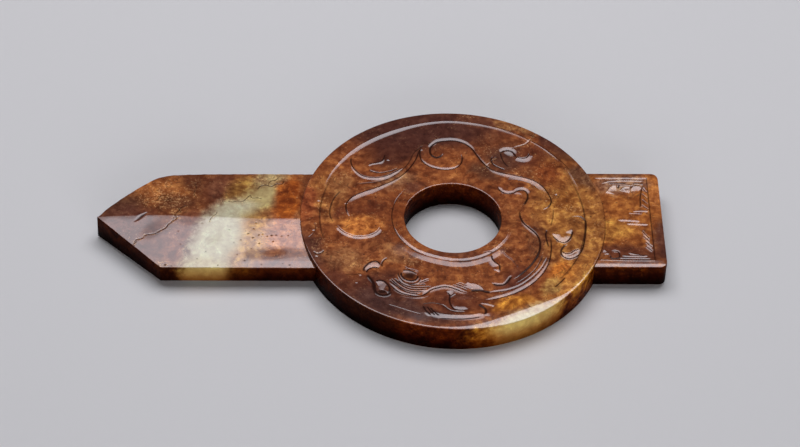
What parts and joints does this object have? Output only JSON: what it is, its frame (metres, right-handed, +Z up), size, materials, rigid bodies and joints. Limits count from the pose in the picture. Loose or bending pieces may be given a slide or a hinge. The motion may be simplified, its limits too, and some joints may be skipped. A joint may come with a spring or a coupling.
{
  "type": "jade gui tablet with bi disc",
  "caption": "Flat carved jade ceremonial tablet: pointed blade with a median ridge, pierced round disc with rims and low dragon relief, and a short squared butt.",
  "frame": {"origin": "under the middle of the overall length, on the plane of the disc's back that the stone rests on", "axes": "+Z up out of the carved face, +X along the tablet from the blade's tip to the butt, +Y across the tablet"},
  "size_m": [0.2036, 0.11, 0.0106],
  "materials": {
    "russet_jade": "polished mottled nephrite, russet to honey brown, with darker veins and pits",
    "pale_jade": "polished mottled nephrite, russet with a pale celadon band across it"
  },
  "bodies": {
    "root": {"gui_blade": "pale_jade", "bi_disc": "russet_jade", "gui_butt": "russet_jade"}
  },
  "joints": []
}
